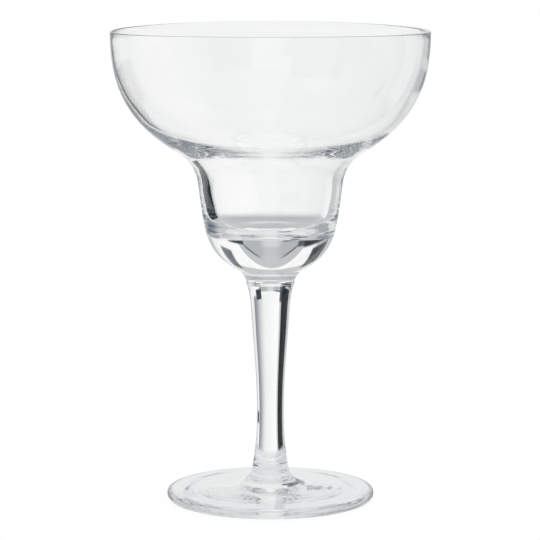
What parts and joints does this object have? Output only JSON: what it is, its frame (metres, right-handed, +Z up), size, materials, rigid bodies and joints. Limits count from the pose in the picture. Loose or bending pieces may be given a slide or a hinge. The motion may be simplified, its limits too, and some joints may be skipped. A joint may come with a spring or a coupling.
{
  "type": "margarita glass",
  "caption": "Clear stemmed cocktail glass: a wide bowl stepping in to a narrow thick-walled well, on a drawn stem with a waist and a round foot.",
  "frame": {"origin": "centre of the foot's underside, on the surface that the glass stands on", "axes": "+Z up along the axis of the glass, from the foot to the rim; X and Y are alike"},
  "size_m": [0.115, 0.115, 0.1714],
  "materials": {
    "bowl_glass": "clear fire-polished soda glass, thick at the shoulder and under the well",
    "stem_glass": "clear drawn soda glass, smooth",
    "foot_glass": "clear pressed soda glass with faint rings on its upper face"
  },
  "bodies": {
    "root": {"bowl": "bowl_glass", "stem": "stem_glass", "foot": "foot_glass"}
  },
  "joints": []
}
